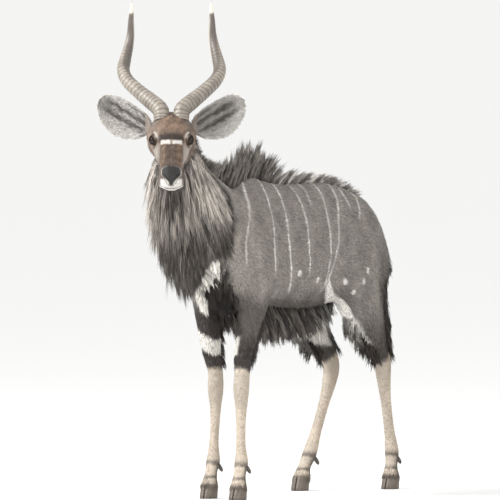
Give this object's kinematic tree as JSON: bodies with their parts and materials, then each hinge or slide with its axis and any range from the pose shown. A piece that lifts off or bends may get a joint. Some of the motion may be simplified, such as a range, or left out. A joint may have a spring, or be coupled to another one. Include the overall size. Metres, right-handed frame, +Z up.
{
  "type": "bull nyala antelope, life-size standing model",
  "caption": "Life-size still model of a standing male antelope with spiral horns, long mane, back crest and belly fringe, head turned to its left.",
  "frame": {"origin": "centre of the bounding box's underside, on the floor between the feet", "axes": "+Z up, the trunk points along -Y, the animal's own left is +X, the head is turned 30 degrees to its left"},
  "size_m": [0.4898, 1.5586, 1.6724],
  "materials": {
    "face_hair": "short hair",
    "dark_hair": "long coarse hair",
    "body_hair": "short hair with pale stripes",
    "shank_hair": "short sleek hair",
    "ear_hair": "thin hair over skin",
    "eye": "wet gloss",
    "horn": "ringed horn with pale tips",
    "hoof": "dark horn"
  },
  "bodies": {
    "root": {"head": "face_hair", "neck": "dark_hair", "trunk": "body_hair", "tail": "dark_hair", "ear_left": "ear_hair", "ear_right": "ear_hair", "eye_left": "eye", "eye_right": "eye", "horn_left": "horn", "horn_right": "horn", "fore_left_upper_leg": "dark_hair", "fore_left_lower_leg": "shank_hair", "fore_left_hoof_left": "hoof", "fore_left_hoof_right": "hoof", "fore_left_dewclaw_left": "hoof", "fore_left_dewclaw_right": "hoof", "fore_right_upper_leg": "dark_hair", "fore_right_lower_leg": "shank_hair", "fore_right_hoof_left": "hoof", "fore_right_hoof_right": "hoof", "fore_right_dewclaw_left": "hoof", "fore_right_dewclaw_right": "hoof", "hind_left_upper_leg": "dark_hair", "hind_left_lower_leg": "shank_hair", "hind_left_hoof_left": "hoof", "hind_left_hoof_right": "hoof", "hind_left_dewclaw_left": "hoof", "hind_left_dewclaw_right": "hoof", "hind_right_upper_leg": "dark_hair", "hind_right_lower_leg": "shank_hair", "hind_right_hoof_left": "hoof", "hind_right_hoof_right": "hoof", "hind_right_dewclaw_left": "hoof", "hind_right_dewclaw_right": "hoof"}
  },
  "joints": []
}
